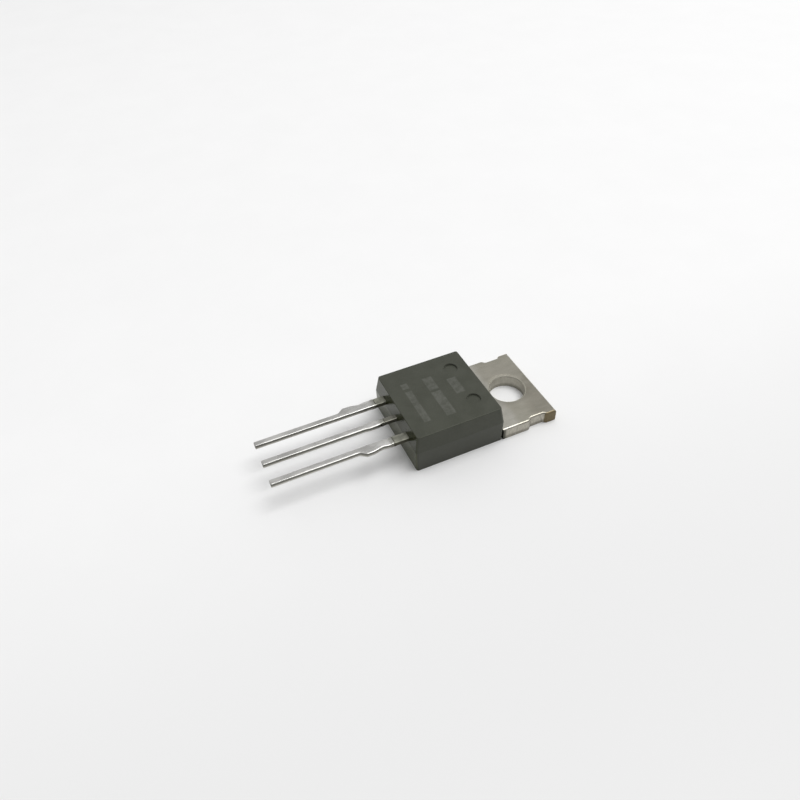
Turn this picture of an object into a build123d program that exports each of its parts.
from build123d import *
import os
from math import atan2, degrees, hypot, radians, tan

# A power transistor in a flat plastic package with three leads and a metal tab. Sizes are in
# millimetres. The origin is the centre of the mounting hole, on the flat back face. +X runs from
# the leads to the free end of the tab, +Z runs out of the front face, and the base lead is on the
# +Y side.

# Tab and header: one stamping of thick copper strip.
strip_thickness = 1.32
hole_diameter = 3.68
hole_rim_chamfer = 0.08
hole_to_tab_end = 2.85
hole_to_body = 3.27
tab_width = 9.9
shoulder_gap = 0.02
waist_width = 9.27
waist_length = 1.47
waist_slope_length = 0.33
ear_width = 9.79
ear_length = 1.10
ear_slope_length = 0.25
outline_radius = 0.30
stamped_edge_radius = 0.20

# The part of the strip that lies under the chip, inside the body, and stops short of the lead end.
header_width = 8.4
header_to_lead_end = 2.18
lock_step_width = 0.30
lock_step_height = 0.45
sealing_groove_width = 0.40
sealing_groove_depth = 0.20
sealing_groove_to_body = 0.80

# Moulded body. Its length and width are those of the parting plane, which lies just below the
# leads, and both halves taper away from that plane.
body_length = 9.45
body_width = 9.90
body_height = 4.27
parting_height = 2.47
front_taper = 8.1
back_taper = 1.0
body_corner_radius = 0.25
front_edge_radius = 0.06

# Ejector pin marks in the front face. Their middle lies a little towards the base lead's side.
pit_diameter = 1.45
pit_depth = 0.17
pit_spacing = 4.87
pit_middle_y = 0.13
pit_to_body_end = 2.07

# Leads: thin strip, level with each other.
lead_pitch = 2.54
lead_height = 2.55
lead_thickness = 0.46
lead_width = 0.62
lead_length = 13.42
lead_edge_radius = 0.09

# The outer edge of each outer lead keeps a stub of the bar that once joined the leads: distances
# from the body, and how far the edge lies from the middle of the lead.
root_reach = 2.00
root_offset = 0.65
neck_reach = 2.60
neck_offset = 0.55
stub_start_reach = 3.55
stub_end_reach = 4.25
stub_offset = 0.76
stub_slope_length = 0.58
stub_blend_radius = 0.40

# The middle lead keeps a smaller swelling on both sides.
swelling_reach = 1.60
swelling_length = 1.20
swelling_slope_length = 0.35
swelling_width = 0.78

# Inner ends of the leads. The outer leads end in posts for the bond wires, and the middle lead
# drops to the header and is one piece with it.
post_length = 1.70
post_width = 2.20
post_cover = 0.65
collector_root_width = 1.40
collector_root_cover = 0.45
collector_flat_length = 0.30
collector_drop_length = 0.95
collector_bend_radius = 0.36

# Chip and its solder layer.
chip_length = 3.2
chip_width = 3.2
chip_thickness = 0.30
chip_to_header_end = 3.0
solder_thickness = 0.06
solder_margin = 0.15

# Bond wires, each with a flattened foot at both ends. A foot's place is measured from the middle
# of the chip, towards the leads and towards the post.
base_wire_diameter = 0.20
base_foot_along = 1.00
base_foot_across = 0.95
emitter_wire_diameter = 0.38
emitter_foot_along = 0.45
emitter_foot_across = 0.85
foot_length_share = 2.6
foot_width_share = 1.5
foot_height_share = 0.75
wire_start_share = 0.55
wire_loop_pull = 1.05
wire_rise_share = 0.10
wire_fall_share = 0.30
wire_straights = 6

# Two points closer together than this are the same corner.
same_place = 1e-6

# Places that follow from the sizes.
body_end_x = -hole_to_body
lead_end_x = body_end_x - body_length
header_length = body_length - header_to_lead_end
header_end_x = body_end_x - header_length
shoulder_x = body_end_x + shoulder_gap
chip_x = header_end_x + chip_to_header_end
solder_bottom_z = strip_thickness
chip_bottom_z = solder_bottom_z + solder_thickness
chip_top_z = chip_bottom_z + chip_thickness
lead_top_z = lead_height + lead_thickness
post_end_x = lead_end_x + post_cover + post_length
post_middle_x = post_end_x - post_length / 2
tip_x = lead_end_x - lead_length
collector_root_x = lead_end_x + collector_root_cover


def mirrored(side):
    """Close an outline that is given by its +Y side, from one end to the other."""
    return side + [(x, -y) for x, y in reversed(side)]


def flat_face(points):
    """A flat face inside a closed outline of straight lines."""
    return make_face(Polyline(*points, close=True))


def round_corners(face, corners, radius):
    """Round the corners of a flat face that lie at the given points."""
    chosen = [v for v in face.vertices() if any(hypot(v.X - x, v.Y - y) < same_place for x, y in corners)]
    return fillet(chosen, radius)


def rounded_strip(face, radius):
    """A strip of lead metal with rounded edges, except across its end in the body."""
    strip = Pos(0, 0, lead_height) * extrude(face, lead_thickness)
    front = strip.faces().sort_by(Axis.Z)[-1].edges()
    back = strip.faces().sort_by(Axis.Z)[0].edges()
    across_end = (front + back).sort_by(Axis.X)[-1].center().X
    rims = [edge for edge in front + back if edge.center().X < across_end - same_place]
    return fillet(rims, radius)


def make_tab_plate():
    """The tab outside the body, with its shoulders, waist and ears, and its screw hole.

    Its front edges are rounded, except the one across the shoulders, which faces the body.
    """
    tab_half = tab_width / 2
    waist_half = waist_width / 2
    ear_half = ear_width / 2
    ear_start = hole_to_tab_end - ear_length
    waist_end = ear_start - ear_slope_length
    waist_start = waist_end - waist_length
    slope_start = waist_start - waist_slope_length
    bends = [
        (slope_start, tab_half),
        (waist_start, waist_half),
        (waist_end, waist_half),
        (ear_start, ear_half),
    ]
    side = [(shoulder_x, tab_half)] + bends + [(hole_to_tab_end, ear_half)]
    face = round_corners(flat_face(mirrored(side)), mirrored(bends), outline_radius)
    plate = extrude(face, strip_thickness)
    front_rim = plate.faces().sort_by(Axis.Z)[-1].edges().sort_by(Axis.X)
    plate = fillet(front_rim[1:], stamped_edge_radius)
    plate -= Cylinder(hole_diameter / 2, strip_thickness, align=(Align.CENTER, Align.CENTER, Align.MIN))
    hole_rim = plate.faces().sort_by(Axis.Z)[-1].inner_wires()[0].edges()
    return chamfer(hole_rim, hole_rim_chamfer)


def make_header():
    """The part of the strip that carries the chip, up to the tab's shoulders."""
    length = header_length + shoulder_gap
    header = Box(length, header_width, strip_thickness, align=(Align.MIN, Align.CENTER, Align.MIN))
    return Pos(header_end_x, 0, 0) * header


def make_lock_steps():
    """What is coined off the header's edges, so that the plastic grips under them."""
    step = Box(header_length, lock_step_width, lock_step_height, align=(Align.MIN, Align.MAX, Align.MIN))
    step = Pos(header_end_x, header_width / 2, 0) * step
    side_steps = step + mirror(step, Plane.XZ)
    step = Box(lock_step_width, header_width, lock_step_height, align=(Align.MIN, Align.CENTER, Align.MIN))
    return side_steps + Pos(header_end_x, 0, 0) * step


def make_sealing_groove():
    """A V groove across the header, which lengthens the way in for moisture."""
    middle_x = body_end_x - sealing_groove_to_body
    half = sealing_groove_width / 2
    section = Plane.XZ * Polyline(
        (middle_x - half, strip_thickness),
        (middle_x, strip_thickness - sealing_groove_depth),
        (middle_x + half, strip_thickness),
        close=True,
    )
    return extrude(make_face(section), header_width, both=True)


def outer_strip_outline(side):
    """Outline of an outer lead up to its post, and the two corners of its stub.

    side is +1 where the stub points to +Y, and -1 where it points to -Y.
    """
    half = lead_width / 2
    root_x = lead_end_x + post_cover
    peak_x = lead_end_x - stub_end_reach
    stub_corners = [(peak_x, stub_offset), (peak_x - stub_slope_length, half)]
    outline = [
        (root_x, -half),
        (root_x, root_offset),
        (lead_end_x - root_reach, root_offset),
        (lead_end_x - neck_reach, neck_offset),
        (lead_end_x - stub_start_reach, stub_offset),
        *stub_corners,
        (tip_x, half),
        (tip_x, -half),
    ]
    return [[(x, side * (lead_pitch + y)) for x, y in points] for points in (outline, stub_corners)]


def make_outer_lead(side):
    """A flat tinned lead, with a square-edged post for its bond wire at the inner end."""
    outline, stub_corners = outer_strip_outline(side)
    face = round_corners(flat_face(outline), stub_corners, stub_blend_radius)
    post = Box(post_length, post_width, lead_thickness, align=(Align.MAX, Align.CENTER, Align.MIN))
    return rounded_strip(face, lead_edge_radius) + Pos(post_end_x, side * lead_pitch, lead_height) * post


def make_collector_strip():
    """The tinned part of the middle lead, from just inside the body to its tip."""
    half = lead_width / 2
    swelling_half = swelling_width / 2
    swelling = [
        (lead_end_x - swelling_reach, half),
        (lead_end_x - swelling_reach - swelling_slope_length, swelling_half),
        (lead_end_x - swelling_reach - swelling_length, swelling_half),
        (lead_end_x - swelling_reach - swelling_length - swelling_slope_length, half),
    ]
    face = flat_face(mirrored([(collector_root_x, half)] + swelling + [(tip_x, half)]))
    return rounded_strip(face, lead_edge_radius)


def make_collector_drop():
    """The double bend that joins the middle lead to the header."""
    low_z = strip_thickness - lead_thickness / 2
    high_z = lead_top_z - lead_thickness / 2
    first_bend_x = header_end_x - collector_flat_length
    middle_line = FilletPolyline(
        (header_end_x + lock_step_width, low_z),
        (first_bend_x, low_z),
        (first_bend_x - collector_drop_length, high_z),
        (collector_root_x, high_z),
        radius=collector_bend_radius,
    )
    section = Plane.XZ * trace(middle_line, lead_thickness)
    return extrude(section, collector_root_width / 2, both=True)


def make_tab_with_collector_lead():
    """Tab, header and middle lead, which are one piece of metal."""
    header = make_header() - make_lock_steps() - make_sealing_groove()
    return make_tab_plate() + header + make_collector_drop() + make_collector_strip()


def make_solder():
    """The thin layer that holds the chip to the header and carries its current."""
    size_x = chip_length + 2 * solder_margin
    size_y = chip_width + 2 * solder_margin
    layer = Box(size_x, size_y, solder_thickness, align=(Align.CENTER, Align.CENTER, Align.MIN))
    return Pos(chip_x, 0, solder_bottom_z) * layer


def make_chip():
    """The silicon chip."""
    chip = Box(chip_length, chip_width, chip_thickness, align=(Align.CENTER, Align.CENTER, Align.MIN))
    return Pos(chip_x, 0, chip_bottom_z) * chip


def make_foot(diameter):
    """The flattened end of a bond wire, standing on Z = 0."""
    outline = SlotOverall(foot_length_share * diameter, foot_width_share * diameter)
    return extrude(outline, foot_height_share * diameter)


def make_bond_wire(diameter, foot_along, foot_across, side):
    """A wire from the chip's top, over a loop, to the post of the outer lead on one side.

    The loop is a smooth curve followed by short straights. It is drawn along X, from a foot at the
    origin, then turned towards the post.
    """
    start_x = chip_x - foot_along
    start_y = side * foot_across
    run_x = post_middle_x - start_x
    run_y = side * lead_pitch - start_y
    span = hypot(run_x, run_y)
    rise = lead_top_z - chip_top_z
    start_z = wire_start_share * diameter
    pull_z = rise + wire_loop_pull
    curve = Bezier(
        (0, start_z),
        (wire_rise_share * span, pull_z),
        ((1 - wire_fall_share) * span, pull_z),
        (span, rise + start_z),
    )
    path = Plane.XZ * Polyline(*[curve @ (step / wire_straights) for step in range(wire_straights + 1)])
    section = Plane(origin=path @ 0, z_dir=path % 0) * Circle(diameter / 2)
    wire = sweep(section, path=path, transition=Transition.RIGHT)
    foot = make_foot(diameter)
    wire = wire + foot + Pos(span, 0, rise) * foot
    turn = degrees(atan2(run_y, run_x))
    return Pos(start_x, start_y, chip_top_z) * Rot(0, 0, turn) * wire


def tapered_half(height, taper):
    """One half of the moulding, from the parting plane at Z = 0 to its face at the given height."""
    inset = abs(height) * tan(radians(taper))
    parting = RectangleRounded(body_length, body_width, body_corner_radius)
    end = RectangleRounded(body_length - 2 * inset, body_width - 2 * inset, body_corner_radius)
    return loft([parting, Pos(0, 0, height) * end], ruled=True)


def make_body_block():
    """The outside of the moulding: two tapered halves that meet at the parting plane."""
    front = tapered_half(body_height - parting_height, front_taper)
    back = tapered_half(-parting_height, back_taper)
    front_rim = front.faces().sort_by(Axis.Z)[-1].edges()
    block = back + fillet(front_rim, front_edge_radius)
    middle_x = body_end_x - body_length / 2
    return Pos(middle_x, 0, parting_height) * block


def make_pits():
    """The two round marks left by the mould's ejector pins."""
    pit = Cylinder(pit_diameter / 2, pit_depth, align=(Align.CENTER, Align.CENTER, Align.MAX))
    x = body_end_x - pit_to_body_end
    far_y = pit_middle_y + pit_spacing / 2
    near_y = pit_middle_y - pit_spacing / 2
    return Pos(x, far_y, body_height) * pit + Pos(x, near_y, body_height) * pit


def make_body(held):
    """The plastic moulding, which fills all the space around the pieces that it holds."""
    body = make_body_block() - make_pits()
    for piece in held:
        body -= piece
    return body


inside = {
    "tab_with_collector_lead": make_tab_with_collector_lead(),
    "base_lead": make_outer_lead(1),
    "emitter_lead": make_outer_lead(-1),
    "chip_solder": make_solder(),
    "chip": make_chip(),
    "base_bond_wire": make_bond_wire(base_wire_diameter, base_foot_along, base_foot_across, 1),
    "emitter_bond_wire": make_bond_wire(emitter_wire_diameter, emitter_foot_along, emitter_foot_across, -1),
}
nodes = dict(inside)
nodes["moulded_body"] = make_body(inside.values())

os.makedirs("parts", exist_ok=True)
for name, solid in nodes.items():
    export_step(solid, f"parts/{name}.step")
    print(name, "volume", round(solid.volume, 3), "valid", solid.is_valid)
